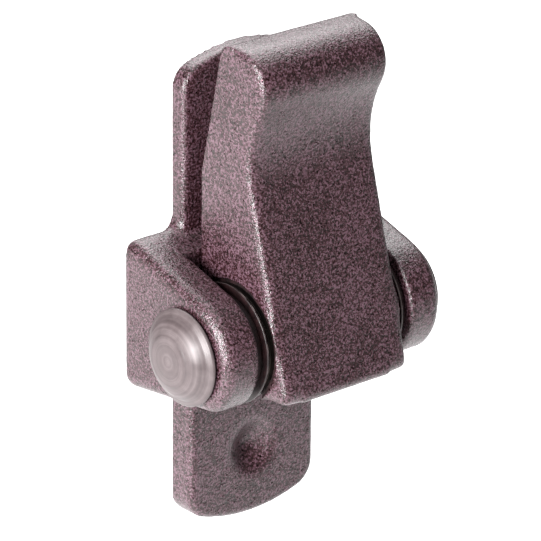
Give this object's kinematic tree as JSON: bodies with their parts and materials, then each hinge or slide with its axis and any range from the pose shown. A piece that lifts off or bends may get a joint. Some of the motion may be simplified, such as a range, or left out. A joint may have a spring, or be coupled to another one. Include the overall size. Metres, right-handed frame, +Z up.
{
  "type": "shutter dog holdback",
  "caption": "Fold-out shutter dog: a wall plate with two ears and a nosed lever that swings out on a riveted, friction-held pivot.",
  "frame": {"origin": "on the back face of the wall plate, at the height of the pivot pin and midway between the ears", "axes": "+X along the pivot pin, +Y into the wall (the lever and ears face -Y), +Z up along the plate"},
  "size_m": [0.0558, 0.0297, 0.0903],
  "materials": {
    "textured_coat": "dark mauve-brown fine-textured powder coat with a metallic sparkle, over a casting",
    "smooth_coat": "smooth satin taupe coat over turned steel",
    "washer_coat": "smooth dark red-brown satin coat over sheet steel",
    "spring_steel": "plain dark spring steel"
  },
  "bodies": {
    "bracket": {"wall_plate": "textured_coat", "pivot_rivet": "smooth_coat", "left_thrust_washer": "washer_coat", "right_thrust_washer": "washer_coat", "left_friction_disc": "washer_coat", "right_friction_disc": "washer_coat"},
    "swing_lever": {"lever": "textured_coat", "left_disc_spring": "spring_steel", "right_disc_spring": "spring_steel"}
  },
  "joints": [
    {"name": "lever_pivot", "type": "hinge", "parent": "bracket", "child": "swing_lever", "pos_m": [0, -0.016, 0], "axis": [1, 0, 0], "range_deg": [0, 90]}
  ]
}
